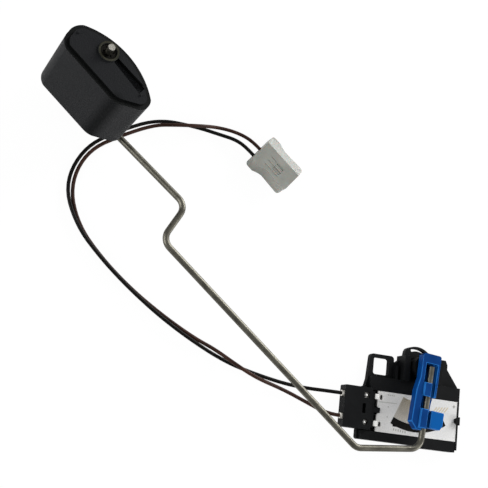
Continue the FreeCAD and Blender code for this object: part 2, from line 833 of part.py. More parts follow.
# Routes of the two leads from the terminal block to the connector
black_route = [
    (-43.0, upper_wire_y, 5.3),
    (-52.0, -16.2, 2.2),
    (-62.0, -15.5, wire_floor),
    (-76.0, -13.2, wire_floor),
    (-90.0, -9.9, wire_floor),
    (-105.8, -3.4, 1.95),
    (-121.0, 4.5, 2.5),
    (-135.3, 13.8, 2.72),
    (-148.6, 24.1, 2.72),
    (-160.9, 36.1, 2.55),
    (-168.1, 52.8, 1.1),
    (-162.2, 70.3, wire_floor),
    (-148.0, 80.8, wire_floor),
    (-132.6, 89.2, wire_floor),
    (-115.6, 89.6, wire_floor),
    (-103.6, 88.2, 1.4),
    (-97.6, 87.0, 3.0),
    (-92.7, 84.5, 4.0),
]
brown_route = [
    (-43.0, lower_wire_y, 5.3),
    (-52.2, -21.9, 2.0),
    (-62.5, -18.0, wire_floor),
    (-77.3, -15.1, 5.5),
    (-87.6, -10.4, 5.5),
    (-95.2, -5.3, wire_floor),
    (-104.9, -1.9, wire_floor),
    (-120.1, 5.6, wire_floor),
    (-134.7, 14.4, wire_floor),
    (-148.1, 24.7, wire_floor),
    (-160.0, 36.9, wire_floor),
    (-165.8, 52.9, wire_floor),
    (-160.6, 69.1, wire_floor),
    (-146.8, 78.9, wire_floor),
    (-134.0, 86.2, wire_floor),
    (-126.4, 86.6, 5.5),
    (-115.9, 88.6, 5.5),
    (-106.0, 91.3, 1.6),
    (-97.2, 90.6, 2.6),
    (-90.1, 87.9, 4.0),
]

os.makedirs("parts", exist_ok=True)
upper_terminal, upper_start = make_terminal(upper_wire_y, upper_pad_y)
lower_terminal, lower_start = make_terminal(lower_wire_y, lower_pad_y)
nodes = {
    "sender_body": make_body(),
    "resistor_card": make_card(),
    "resistor_track": make_track(),
    "conductor_print": make_fan(),
    "terminal_upper": upper_terminal,
    "terminal_lower": lower_terminal,
    "arm_holder": turn_arm(make_holder()),
    "wiper_contact": turn_arm(make_wiper()),
    "wiper_buttons": turn_arm(make_buttons()),
    "wiper_rivets": turn_arm(make_rivets()),
    "float_arm": make_arm(),
    "float": to_float_axis(make_float()),
    "float_retainer": to_float_axis(make_retainer()),
    "connector_housing": make_plug(),
    "connector_contact_black": make_contact(-1),
    "connector_contact_brown": make_contact(1),
    "wire_black": make_lead("black lead", upper_start, black_route, plug_entry(-1)),
    "wire_brown": make_lead("brown lead", lower_start, brown_route, plug_entry(1)),
}
for name, shape in nodes.items():
    print(name, "valid", shape.isValid(), "solids", len(shape.Solids), "volume", round(shape.Volume, 1))
    shape.exportStep("parts/" + name + ".step")
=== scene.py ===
# %% [markdown]
# A fuel level sender: a moulded head that clips into a tank's pump module, a bent wire arm with
# a foamed float, and two leads to a small connector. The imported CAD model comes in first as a
# fixed frame, so that every piece made here has a place to sit. All lengths are in metres.

# %% Load the frame
import json
import math

import bmesh
import bpy
from mathutils import Matrix, Vector


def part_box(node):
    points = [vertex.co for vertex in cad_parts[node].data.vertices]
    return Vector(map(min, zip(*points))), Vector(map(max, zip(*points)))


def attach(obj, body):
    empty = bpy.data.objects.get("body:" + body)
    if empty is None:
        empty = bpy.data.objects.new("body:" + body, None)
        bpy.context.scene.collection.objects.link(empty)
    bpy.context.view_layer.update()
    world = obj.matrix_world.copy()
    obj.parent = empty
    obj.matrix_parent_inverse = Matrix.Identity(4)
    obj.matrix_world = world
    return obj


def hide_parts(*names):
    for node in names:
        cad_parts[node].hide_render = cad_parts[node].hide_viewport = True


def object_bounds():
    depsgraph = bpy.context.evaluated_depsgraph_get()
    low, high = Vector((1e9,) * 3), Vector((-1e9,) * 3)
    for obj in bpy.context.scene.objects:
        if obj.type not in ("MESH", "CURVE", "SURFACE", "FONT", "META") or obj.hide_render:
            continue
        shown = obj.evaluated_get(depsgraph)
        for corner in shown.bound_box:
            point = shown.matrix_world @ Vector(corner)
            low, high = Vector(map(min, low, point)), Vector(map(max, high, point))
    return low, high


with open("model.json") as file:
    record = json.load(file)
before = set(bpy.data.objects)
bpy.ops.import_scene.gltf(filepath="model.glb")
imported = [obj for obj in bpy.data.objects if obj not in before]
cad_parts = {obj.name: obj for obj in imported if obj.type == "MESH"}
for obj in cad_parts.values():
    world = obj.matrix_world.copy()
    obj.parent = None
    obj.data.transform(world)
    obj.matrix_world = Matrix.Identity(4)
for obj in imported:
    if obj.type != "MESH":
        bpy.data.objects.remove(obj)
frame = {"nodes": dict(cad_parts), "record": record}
cad_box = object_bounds()
mm = 0.001
print("nodes", len(frame["nodes"]), "CAD box", [round(v, 4) for v in cad_box[1] - cad_box[0]])

# %% [markdown]
# Helpers. A colour is written as the hex value that a colour picker gives, and Blender works in
# linear light, so one function converts it. Another adds a node with its settings and links:
# with it a material reads as a list of what feeds what.

# %% Colour and node helpers


def linear(hex_colour):
    """An sRGB hex colour as linear RGBA."""
    parts = [int(hex_colour[i:i + 2], 16) / 255 for i in (1, 3, 5)]
    return [p / 12.92 if p <= 0.04045 else ((p + 0.055) / 1.055) ** 2.4 for p in parts] + [1.0]


def add(tree, kind, values=None, links=None, **settings):
    """One node, with its settings, its socket values and the sockets that feed it."""
    node = tree.nodes.new(kind)
    for key, value in settings.items():
        setattr(node, key, value)
    for socket, value in (values or {}).items():
        node.inputs[socket].default_value = value
    for socket, source in (links or {}).items():
        tree.links.new(source, node.inputs[socket])
    return node


def new_material(name, **shader):
    """A material with one Principled shader; returns it with its node tree and shader."""
    material = bpy.data.materials.new(name)
    material.use_nodes = True
    tree = material.node_tree
    surface = tree.nodes["Principled BSDF"]
    for socket, value in shader.items():
        surface.inputs[socket.replace("_", " ")].default_value = value
    return material, tree, surface


def own_coordinates(tree):
    return add(tree, "ShaderNodeTexCoord").outputs["Object"]


def colour_ramp(tree, factor, stops):
    """A colour ramp from a list of (position, hex colour)."""
    ramp = add(tree, "ShaderNodeValToRGB", links={"Fac": factor})
    while len(ramp.color_ramp.elements) < len(stops):
        ramp.color_ramp.elements.new(0.5)
    for element, (position, colour) in zip(ramp.color_ramp.elements, stops):
        element.position = position
        element.color = linear(colour)
    return ramp.outputs["Color"]


def link_to_scene(piece):
    bpy.context.scene.collection.objects.link(piece)
    return piece


def plain_mesh(piece, name):
    """The piece with its modifiers applied, as a new object at the origin."""
    graph = bpy.context.evaluated_depsgraph_get()
    mesh = bpy.data.meshes.new_from_object(piece.evaluated_get(graph), depsgraph=graph)
    result = link_to_scene(bpy.data.objects.new(name, mesh))
    bpy.data.objects.remove(piece)
    return result


print("helpers ready")

# %% [markdown]
# The camera comes first. Its place and direction were worked out from known right angles and
# from the wire's even width.
# A long lens (74 mm on a 36 mm sensor) keeps the part's shape calm, as in product photographs.

# %% Camera
camera_data = bpy.data.cameras.new("product_camera")
camera_data.sensor_width = 36.0
camera_data.lens = 73.77
camera_data.clip_start = 0.01
camera_data.clip_end = 20.0
camera = link_to_scene(bpy.data.objects.new("product_camera", camera_data))
camera_turn = Matrix((
    (0.9323, -0.1760, -0.3159),
    (0.1082, 0.9693, -0.2208),
    (0.3451, 0.1716, 0.9227),
))
camera_place = (-0.2248, -0.0541, 0.4021)
camera.matrix_world = Matrix.Translation(camera_place) @ camera_turn.to_4x4()
bpy.context.scene.camera = camera
print("camera lens", camera_data.lens, "mm")

# %% [markdown]
# A white studio, as for a catalogue picture. The camera sees white all round. Shiny surfaces
# see grey walls and a lighter ceiling, which gives the round wire a light middle and darker
# edges. What lights the part is weaker than what the camera sees, so that its colours come out
# as they are written. A world with one colour would do for matt things, but metal shows it.

# %% White studio
ambient_strength = 0.56

scene = bpy.context.scene
scene.view_settings.view_transform = "Standard"
world = bpy.data.worlds.new("white_studio")
world.use_nodes = True
scene.world = world
sky = world.node_tree
sky.nodes.clear()
seen = add(sky, "ShaderNodeLightPath")
direction = add(sky, "ShaderNodeTexCoord").outputs["Generated"]
upward = add(sky, "ShaderNodeSeparateXYZ", links={"Vector": direction}).outputs["Z"]
tent = colour_ramp(sky, upward, [(0.05, "#8e8e8e"), (0.45, "#a6a6a6"), (0.85, "#cccccc")])
ambient = add(sky, "ShaderNodeBackground", {"Color": linear("#ffffff"), "Strength": ambient_strength})
backdrop = add(sky, "ShaderNodeBackground", {"Color": (1, 1, 1, 1), "Strength": 1.0})
walls = add(sky, "ShaderNodeBackground", {"Strength": 1.0}, {"Color": tent})
through = add(sky, "ShaderNodeMath", operation="MAXIMUM",
              links={0: seen.outputs["Is Camera Ray"], 1: seen.outputs["Is Transmission Ray"]})
mirrored = add(sky, "ShaderNodeMixShader",
               links={0: seen.outputs["Is Glossy Ray"], 1: ambient.outputs[0], 2: walls.outputs[0]})
mixed = add(sky, "ShaderNodeMixShader",
            links={0: through.outputs[0], 1: mirrored.outputs[0], 2: backdrop.outputs[0]})
add(sky, "ShaderNodeOutputWorld", links={"Surface": mixed.outputs[0]})
print("world", world.name)

# %% [markdown]
# The floor is a sweep of white paper. For the camera it mixes a white glow with a plain matt
# surface: the glow makes the ground white, and the matt part keeps a faint shadow under the
# part, so that it doesn't float.

# %% Paper floor
half_floor = 3.0
floor_level = -0.2 * mm
glow_of_floor = 0.96

floor_material = bpy.data.materials.new("white_paper_sweep")
floor_material.use_nodes = True
floor_tree = floor_material.node_tree
floor_tree.nodes.clear()
floor_seen = add(floor_tree, "ShaderNodeLightPath")
paper = add(floor_tree, "ShaderNodeBsdfDiffuse", {"Color": linear("#fbfbfb")})
glow = add(floor_tree, "ShaderNodeEmission", {"Color": (1, 1, 1, 1), "Strength": 1.0})
glow_share = add(floor_tree, "ShaderNodeMath", {1: glow_of_floor}, {0: floor_seen.outputs["Is Camera Ray"]},
                 operation="MULTIPLY")
sweep = add(floor_tree, "ShaderNodeMixShader",
            links={0: glow_share.outputs[0], 1: paper.outputs[0], 2: glow.outputs[0]})
add(floor_tree, "ShaderNodeOutputMaterial", links={"Surface": sweep.outputs[0]})

floor_mesh = bpy.data.meshes.new("paper_floor")
floor_corners = [(x * half_floor, y * half_floor, floor_level) for x, y in ((-1, -1), (1, -1), (1, 1), (-1, 1))]
floor_mesh.from_pydata(floor_corners, [], [(0, 1, 2, 3)])
floor_mesh.materials.append(floor_material)
floor = link_to_scene(bpy.data.objects.new("paper_floor", floor_mesh))
print("floor", 2 * half_floor, "m wide")

# %% [markdown]
# Three square soft boxes, each aimed at the middle of the part. They stand low and far out at
# the sides, because the photograph has lighter sides and calm tops, and far lamps light the
# whole part evenly. A sun lamp would be even as well, but its shadows would be hard.

# %% Soft boxes
box_size = 1.5
middle = (cad_box[0] + cad_box[1]) / 2
for lamp_name, offset, watts in (
    ("key_softbox", (1.98, 1.86, 0.96), 100.0),
    ("left_softbox", (-2.49, -0.30, 0.96), 54.0),
    ("right_softbox", (2.40, -1.00, 0.78), 46.0),
):
    lamp = bpy.data.lights.new(lamp_name, "AREA")
    lamp.size = box_size
    lamp.energy = watts
    soft_box = link_to_scene(bpy.data.objects.new(lamp_name, lamp))
    aim = (-Vector(offset)).to_track_quat("-Z", "Y")
    soft_box.matrix_world = Matrix.Translation(middle + Vector(offset)) @ aim.to_matrix().to_4x4()
print("lamps", len(bpy.data.lights))

# %% [markdown]
# The two leads: PVC over a fine copper strand, soft enough to lie in one easy loop on the
# table. A cord could be a mesh tube, but a curve is simpler: its control points are the route
# that the CAD tube follows, and a NURBS spline through their middle gives a line with no
# corners. They are made early, so that their place is settled before anything else.

# %% Routes of the leads
lead_diameter = 1.6 * mm
on_floor = 0.85
black_route = [
    (-37.0, -16.3, 5.3), (-43.0, -16.3, 5.3), (-52.0, -16.2, 2.2), (-62.0, -15.5, on_floor), (-76.0, -13.2, on_floor),
    (-90.0, -9.9, on_floor), (-105.8, -3.4, 1.95), (-121.0, 4.5, 2.5), (-135.3, 13.8, 2.72), (-148.6, 24.1, 2.72),
    (-160.9, 36.1, 2.55), (-168.1, 52.8, 1.1), (-162.2, 70.3, on_floor), (-148.0, 80.8, on_floor),
    (-132.6, 89.2, on_floor), (-115.6, 89.6, on_floor), (-103.6, 88.2, 1.4), (-97.6, 87.0, 3.0), (-92.7, 84.5, 4.0),
    (-88.583, 81.313, 4.0),
]
brown_route = [
    (-37.0, -26.0, 5.3), (-43.0, -26.0, 5.3), (-52.2, -21.9, 2.0), (-62.5, -18.0, on_floor), (-77.3, -15.1, 5.5),
    (-87.6, -10.4, 5.5), (-95.2, -5.3, on_floor), (-104.9, -1.9, on_floor), (-120.1, 5.6, on_floor),
    (-134.7, 14.4, on_floor), (-148.1, 24.7, on_floor), (-160.0, 36.9, on_floor), (-165.8, 52.9, on_floor),
    (-160.6, 69.1, on_floor), (-146.8, 78.9, on_floor), (-134.0, 86.2, on_floor), (-126.4, 86.6, 5.5),
    (-115.9, 88.6, 5.5), (-106.0, 91.3, 1.6), (-97.2, 90.6, 2.6), (-90.1, 87.9, 4.0), (-85.965, 84.724, 4.0),
]


def lead_curve(name, route):
    """A round lead whose NURBS control points are the route."""
    data = bpy.data.curves.new(name, "CURVE")
    data.dimensions = "3D"
    data.bevel_depth = 1.0
    data.bevel_resolution = 3
    data.resolution_u = 6
    data.use_fill_caps = True
    spline = data.splines.new("NURBS")
    spline.points.add(len(route) - 1)
    for point, place in zip(spline.points, route):
        point.co = (*[value * mm for value in place], 1.0)
        point.radius = lead_diameter / 2
    spline.order_u = 3
    spline.use_endpoint_u = True
    return link_to_scene(bpy.data.objects.new(name, data))


def curve_length(piece):
    """Length of the curve's own line, read from the mesh of the curve with no bevel."""
    bare = piece.copy()
    bare.data = piece.data.copy()
    bare.data.bevel_depth = 0.0
    link_to_scene(bare)
    graph = bpy.context.evaluated_depsgraph_get()
    mesh = bpy.data.meshes.new_from_object(bare.evaluated_get(graph))
    places = [v.co.copy() for v in mesh.vertices]
    bpy.data.objects.remove(bare)
    return sum((b - a).length for a, b in zip(places, places[1:]))


black_lead = lead_curve("lead_black", black_route)
brown_lead = lead_curve("lead_brown", brown_route)
black_length = curve_length(black_lead)
brown_length = curve_length(brown_lead)
for lead, node in ((black_lead, "wire_black"), (brown_lead, "wire_brown")):
    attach(lead, "head")
    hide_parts(node)
print("lead lengths", round(black_length, 4), round(brown_length, 4))

# %% [markdown]
# Three steps come back in every material: a noise with blobs of a size given in millimetres, a
# factor stretched between two limits, and a bump of a real depth. Writing them once keeps each
# material to what makes it special.

# %% Steps that the materials share


def noise(tree, place, size_mm, detail=2.0):
    """Noise whose blobs are about size_mm across."""
    values = {"Scale": 1.0 / (size_mm * mm), "Detail": detail}
    return add(tree, "ShaderNodeTexNoise", values, {"Vector": place}).outputs["Fac"]


def spread(tree, factor, low, high, start=0.3, end=0.7):
    """A factor stretched to run from low to high."""
    values = {"From Min": start, "From Max": end, "To Min": low, "To Max": high}
    return add(tree, "ShaderNodeMapRange", values, {"Value": factor}).outputs["Result"]


def blend_over(tree, surface, share, colour):
    """Mixes a colour over the shader's base colour, by a share from 0 to 1."""
    below = surface.inputs["Base Color"].links[0].from_socket
    mix = add(tree, "ShaderNodeMix", {"B": linear(colour)}, {"Factor": share, "A": below}, data_type="RGBA")
    tree.links.new(mix.outputs["Result"], surface.inputs["Base Color"])


def relief(tree, surface, height, depth_mm, strength=1.0):
    """Feeds a bump of that depth to the shader."""
    bump = add(tree, "ShaderNodeBump", {"Strength": strength, "Distance": depth_mm * mm}, {"Height": height})
    tree.links.new(bump.outputs["Normal"], surface.inputs["Normal"])


print("material steps ready")

# %% [markdown]
# The head is moulded in black acetal (POM), a dense and slightly waxy engineering plastic. Its
# mould is spark-eroded, so the skin has a fine grain that breaks a highlight into a soft sheen,
# and thick and thin walls cool at different rates, which leaves the gloss slightly uneven. A
# slow noise moves the colour and roughness a little, and a fine one gives the grain. The true
# grain is about 0.05 mm, too fine for the picture, so it is drawn at 0.4 mm. The arm holder is
# blue acetal. Its rounded front edges get a lighter blue, a painted highlight, and its wiper
# block is mixed towards a lighter blue as well, painted light.

# %% Moulded plastics


def moulded_plastic(name, dark, light, roughness, grain_mm, grain_depth, **shader):
    material, tree, surface = new_material(name, IOR=1.48, **shader)
    place = own_coordinates(tree)
    cloud = noise(tree, place, 9.0, detail=3.0)
    tree.links.new(colour_ramp(tree, cloud, [(0.35, dark), (0.68, light)]), surface.inputs["Base Color"])
    tree.links.new(spread(tree, cloud, roughness - 0.05, roughness + 0.06), surface.inputs["Roughness"])
    relief(tree, surface, noise(tree, place, grain_mm), grain_depth)
    return material


black_acetal = moulded_plastic("acetal_black_moulded", "#0b0c0d", "#101112", roughness=0.46, grain_mm=0.4,
                               grain_depth=0.02, Specular_IOR_Level=0.09)
blue_acetal = moulded_plastic("acetal_blue_moulded", "#002c62", "#003672", roughness=0.42, grain_mm=0.5,
                              grain_depth=0.015, Specular_IOR_Level=0.07)
# Painted highlight: the lighter blue that the holder's rounded front edges get.
blue_edge_highlight = moulded_plastic("acetal_blue_painted_highlight", "#17579a", "#2066ac", roughness=0.42, grain_mm=0.5,
                            grain_depth=0.015, Specular_IOR_Level=0.07)
# Painted light: the wiper block is mixed towards a lighter blue by its position.
block_left, block_top = 1.9 * mm, -18.9 * mm
fade_width, fade_height = 0.4 * mm, 0.5 * mm
blue_tree = blue_acetal.node_tree
blue_place = add(blue_tree, "ShaderNodeSeparateXYZ", links={"Vector": own_coordinates(blue_tree)}).outputs
lit_block_x = spread(blue_tree, blue_place["X"], 0.0, 1.0, block_left, block_left + fade_width)
lit_block_y = spread(blue_tree, blue_place["Y"], 1.0, 0.0, block_top - fade_height, block_top)
lit_block_share = add(blue_tree, "ShaderNodeMath", links={0: lit_block_x, 1: lit_block_y}, operation="MULTIPLY").outputs[0]
blend_over(blue_tree, blue_tree.nodes["Principled BSDF"], lit_block_share, "#004c8e")
natural_nylon = moulded_plastic("nylon_natural_moulded", "#74756f", "#82837c", roughness=0.42, grain_mm=0.6,
                                grain_depth=0.02, Subsurface_Weight=0.25, Subsurface_Scale=1.5 * mm)
print("plastics", black_acetal.name, blue_acetal.name, natural_nylon.name)

# %% [markdown]
# The float is foamed nitrile rubber with closed cells. It is moulded to shape, so it has a
# tight matt skin with a soft bloom, and the cells just under the skin show as a fine pebble of
# about 0.7 mm. A Voronoi pattern is the natural choice for packed cells: the distance to each
# cell's centre makes small domes. A second, slower noise gives the worn, greyer patches.

# %% Foamed rubber
foam, foam_tree, foam_surface = new_material("nitrile_foam_moulded", IOR=1.5, Specular_IOR_Level=0.08,
                                               Sheen_Weight=0.06, Sheen_Roughness=0.45)
foam_place = own_coordinates(foam_tree)
foam_cells = add(foam_tree, "ShaderNodeTexVoronoi", {"Scale": 1 / (0.75 * mm), "Randomness": 1.0},
                 {"Vector": foam_place})
foam_cloud = noise(foam_tree, foam_place, 7.0, detail=4.0)
foam_tree.links.new(colour_ramp(foam_tree, foam_cloud, [(0.34, "#101113"), (0.7, "#151618")]),
                    foam_surface.inputs["Base Color"])
foam_tree.links.new(spread(foam_tree, foam_cloud, 0.62, 0.78), foam_surface.inputs["Roughness"])
relief(foam_tree, foam_surface, foam_cells.outputs["Distance"], depth_mm=0.06, strength=0.7)


def foam_skin(name, dark, light, roughness):
    """A second skin for some faces of the float: near black gives painted shade, a lighter olive tone marks the
    collar.
    """
    material, tree, surface = new_material(name, IOR=1.5, Specular_IOR_Level=0.08)
    place = own_coordinates(tree)
    shade = colour_ramp(tree, noise(tree, place, 2.0, detail=3.0), [(0.35, dark), (0.7, light)])
    wear = spread(tree, noise(tree, place, 5.0), roughness - 0.05, roughness + 0.08)
    tree.links.new(shade, surface.inputs["Base Color"])
    tree.links.new(wear, surface.inputs["Roughness"])
    relief(tree, surface, noise(tree, place, 0.7), depth_mm=0.03, strength=0.6)
    return material


# Painted shade: the ledge and channel faces get this near-black skin.
ledge_shade_skin = foam_skin("nitrile_skin_painted_shade", "#050606", "#0a0b0b", roughness=0.6)
# The collar faces get a lighter olive tone.
collar_skin = foam_skin("nitrile_skin_collar_olive", "#222219", "#2e2d24", roughness=0.55)
print("foam", foam.name, ledge_shade_skin.name, collar_skin.name)

# %% [markdown]
# Metals. The arm is drawn steel wire with a thin zinc plate: the plate covers the fine lines
# that drawing leaves, has an even grain of its own and gives a slightly warm grey. The terminals
# and contacts are stamped brass with a tin plate, and the wiper is nickel silver. A metal's
# colour is its reflection, so the roughness decides how bright it looks. The wire's top end is
# mixed towards a lighter grey: a painted highlight.

# %% Metals


def plated_metal(name, dark, light, roughness, blotch_mm, grain_mm=0.3, grain_depth=0.01):
    material, tree, surface = new_material(name, Metallic=1.0)
    place = own_coordinates(tree)
    cloud = noise(tree, place, blotch_mm, detail=4.0)
    tree.links.new(colour_ramp(tree, cloud, [(0.3, dark), (0.7, light)]), surface.inputs["Base Color"])
    tree.links.new(spread(tree, cloud, roughness - 0.06, roughness + 0.08), surface.inputs["Roughness"])
    relief(tree, surface, noise(tree, place, grain_mm), grain_depth)
    return material


zinc_steel = plated_metal("steel_wire_zinc_plated", "#504e47", "#67655c", roughness=0.42, blotch_mm=5.0,
                          grain_mm=0.5, grain_depth=0.006)
# Painted highlight: the top of the wire's end is mixed towards a lighter grey.
tip_highlight_start, tip_highlight_full = 45.0 * mm, 45.6 * mm
tip_tree = zinc_steel.node_tree
tip_up = add(tip_tree, "ShaderNodeSeparateXYZ", links={"Vector": own_coordinates(tip_tree)}).outputs["Z"]
tip_highlight_share = spread(tip_tree, tip_up, 0.0, 1.0, tip_highlight_start, tip_highlight_full)
blend_over(tip_tree, tip_tree.nodes["Principled BSDF"], tip_highlight_share, "#8f8d86")
tinned_brass = plated_metal("brass_tinned_stamped", "#d6d3ca", "#efece4", roughness=0.28, blotch_mm=1.5)
tinned_brass.node_tree.nodes["Principled BSDF"].inputs["Metallic"].default_value = 0.55
nickel_silver = plated_metal("nickel_silver_rolled", "#a8a294", "#c8c2b2", roughness=0.3, blotch_mm=1.5)
spring_steel = plated_metal("spring_steel_blackened", "#0f0e0d", "#1b1a17", roughness=0.45, blotch_mm=2.0)
print("metals", zinc_steel.name, tinned_brass.name, nickel_silver.name, spring_steel.name)

# %% [markdown]
# The card is fired alumina: a hard matt ceramic, off-white with a faint speckle from its
# grains. The inks on it are thick film, screen printed and fired. The resistor is nearly black
# and a little glassy, the conductors are a dull silver.

# %% Ceramic and printed inks
alumina, alumina_tree, alumina_surface = new_material("alumina_fired", IOR=1.76)
alumina_place = own_coordinates(alumina_tree)
alumina_speckle = noise(alumina_tree, alumina_place, 0.5, detail=3.0)
alumina_tree.links.new(colour_ramp(alumina_tree, alumina_speckle, [(0.3, "#bfbfbd"), (0.7, "#d6d5d3")]),
                       alumina_surface.inputs["Base Color"])
alumina_tree.links.new(spread(alumina_tree, alumina_speckle, 0.5, 0.66), alumina_surface.inputs["Roughness"])
relief(alumina_tree, alumina_surface, alumina_speckle, depth_mm=0.01, strength=0.6)


def fired_ink(name, dark, light, roughness, gloss=0.5):
    material, tree, surface = new_material(name, IOR=1.6, Specular_IOR_Level=gloss)
    place = own_coordinates(tree)
    mottle = noise(tree, place, 0.6, detail=3.0)
    tree.links.new(colour_ramp(tree, mottle, [(0.3, dark), (0.7, light)]), surface.inputs["Base Color"])
    tree.links.new(spread(tree, mottle, roughness - 0.06, roughness + 0.08), surface.inputs["Roughness"])
    relief(tree, surface, mottle, depth_mm=0.01, strength=0.5)
    return material


resistor_ink = fired_ink("resistor_ink_fired", "#0d0c0b", "#161512", roughness=0.4, gloss=0.06)
silver_ink = fired_ink("silver_ink_fired", "#857c69", "#9c9380", roughness=0.5, gloss=0.2)
ochre_ink = fired_ink("glass_ink_ochre", "#b59f72", "#c9b68d", roughness=0.5)
pale_grey_ink = fired_ink("glass_ink_pale", "#a4a49f", "#b2b2ad", roughness=0.55)
grey_ink = fired_ink("glass_ink_grey", "#85857f", "#9a9a94", roughness=0.55)
print("ceramic and inks ready")

# %% [markdown]
# The leads' insulation is extruded PVC: smooth along its length, with a soft gloss. It gets a
# slight change of gloss, where handling has polished it, and a hint of long waviness.

# %% Insulation


def extruded_pvc(name, dark, light):
    material, tree, surface = new_material(name, IOR=1.52, Specular_IOR_Level=0.07)
    place = own_coordinates(tree)
    wave = noise(tree, place, 6.0)
    tree.links.new(colour_ramp(tree, wave, [(0.35, dark), (0.7, light)]), surface.inputs["Base Color"])
    tree.links.new(spread(tree, wave, 0.36, 0.5), surface.inputs["Roughness"])
    relief(tree, surface, noise(tree, place, 1.2), depth_mm=0.03, strength=0.5)
    return material


pvc_black = extruded_pvc("pvc_black_extruded", "#080706", "#100e0c")
pvc_brown = extruded_pvc("pvc_brown_extruded", "#2a1b16", "#3a261f")
black_lead.data.materials.append(pvc_black)
brown_lead.data.materials.append(pvc_brown)
print("insulation", pvc_black.name, pvc_brown.name)

# %% [markdown]
# Every node of the frame gets its finish. A CAD node whose shape is right stays as it is, and
# only its material changes.

# %% Finishes on the CAD nodes
finishes = {
    "sender_body": black_acetal,
    "resistor_card": alumina,
    "resistor_track": resistor_ink,
    "conductor_print": silver_ink,
    "terminal_upper": tinned_brass,
    "terminal_lower": tinned_brass,
    "arm_holder": blue_acetal,
    "wiper_contact": nickel_silver,
    "wiper_buttons": nickel_silver,
    "wiper_rivets": tinned_brass,
    "float_arm": zinc_steel,
    "float": foam,
    "float_retainer": spring_steel,
    "connector_housing": natural_nylon,
    "connector_contact_black": tinned_brass,
    "connector_contact_brown": tinned_brass,
    "wire_black": pvc_black,
    "wire_brown": pvc_brown,
}
for node, material in finishes.items():
    piece = frame["nodes"][node]
    piece.data.materials.clear()
    piece.data.materials.append(material)
print("finished nodes", len(finishes))

# %% [markdown]
# Moulded and pressed pieces never have sharp edges: a mould is cut with a small radius and a
# foam float with a larger one. The CAD solids are plain, so a copy of each has its loose
# triangles joined, flat faces dissolved into one, and then a bevel of the real edge radius.
# The bevel could be a shader trick, but real geometry also catches the light in other programs.
# The holder has many short edges, which would hold the bevel back, so only its long edges in
# front are rounded, and their faces get a lighter blue: a painted highlight. The plug first loses its upper corner
# to a plane, and then its low ridge is rounded too.

# %% Softened copies of the mouldings


def softened(node, name, radius_mm, body, segments=2, angle=32.0, plane=None, edge_highlight=None, front_mm=None):
    """A copy of a node with round edges. Edges sharper than the angle count, and with front_mm
    only the long ones above that height. A plane, given as (point, normal), cuts a corner off."""
    mesh = frame["nodes"][node].data.copy()
    form = bmesh.new()
    form.from_mesh(mesh)
    bmesh.ops.remove_doubles(form, verts=form.verts, dist=2e-6)
    bmesh.ops.dissolve_limit(form, angle_limit=math.radians(0.6), verts=form.verts, edges=form.edges)
    if plane:
        whole_form = form.verts[:] + form.edges[:] + form.faces[:]
        cut = bmesh.ops.bisect_plane(form, geom=whole_form, plane_co=plane[0], plane_no=plane[1], clear_outer=True)
        rim = [part for part in cut["geom_cut"] if isinstance(part, bmesh.types.BMEdge)]
        bmesh.ops.contextual_create(form, geom=rim)
    if front_mm:
        weight = form.edges.layers.float.new("bevel_weight_edge")
        for edge in form.edges:
            in_front = min(vertex.co.z for vertex in edge.verts) > front_mm * mm
            is_long = edge.calc_length() > 3 * radius_mm * mm
            is_sharp = edge.calc_face_angle(0.0) > math.radians(angle)
            edge[weight] = 1.0 if in_front and is_long and is_sharp else 0.0
    form.to_mesh(mesh)
    form.free()
    for polygon in mesh.polygons:
        polygon.use_smooth = True
    rough = link_to_scene(bpy.data.objects.new(name + "_rough", mesh))
    bevel = rough.modifiers.new("edge_radius", "BEVEL")
    bevel.width = radius_mm * mm
    bevel.segments = segments
    bevel.limit_method = "WEIGHT" if front_mm else "ANGLE"
    bevel.angle_limit = math.radians(angle)
    bevel.use_clamp_overlap = not front_mm
    bevel.harden_normals = False
    # Painted highlight: the bevel faces take the lighter edge material.
    if edge_highlight:
        mesh.materials.append(edge_highlight)
        bevel.material = 1
    weighted = rough.modifiers.new("face_weight", "WEIGHTED_NORMAL")
    weighted.keep_sharp = False
    piece = plain_mesh(rough, name)
    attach(piece, body)
    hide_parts(node)
    print(name, "faces", len(piece.data.polygons))
    return piece


body_moulding = softened("sender_body", "body_moulding", radius_mm=0.25, body="head")
card_plate = softened("resistor_card", "card_plate", radius_mm=0.08, body="head", segments=1)
holder_moulding = softened("arm_holder", "holder_moulding", radius_mm=0.32, body="arm",
                           edge_highlight=blue_edge_highlight, front_mm=10.5)
float_moulding = softened("float", "float_moulding", radius_mm=0.5, body="float")
plug_corner, plug_turn_deg, plug_height = (-85.6, 85.2), -37.5, 8.0
ridge_from_middle, bevel_width, bevel_drop = 2.8, 4.6, 2.7
plug_turn = Matrix.Rotation(math.radians(plug_turn_deg), 4, "Z")
plug_place = Matrix.Translation((plug_corner[0] * mm, plug_corner[1] * mm, 0)) @ plug_turn
ridge = plug_place @ Vector((0, ridge_from_middle * mm, plug_height * mm))
bevel_plane = (ridge, plug_turn @ Vector((0, bevel_drop, bevel_width)).normalized())
plug_moulding = softened("connector_housing", "plug_moulding", radius_mm=0.4, body="head",
                         angle=20.0, plane=bevel_plane)
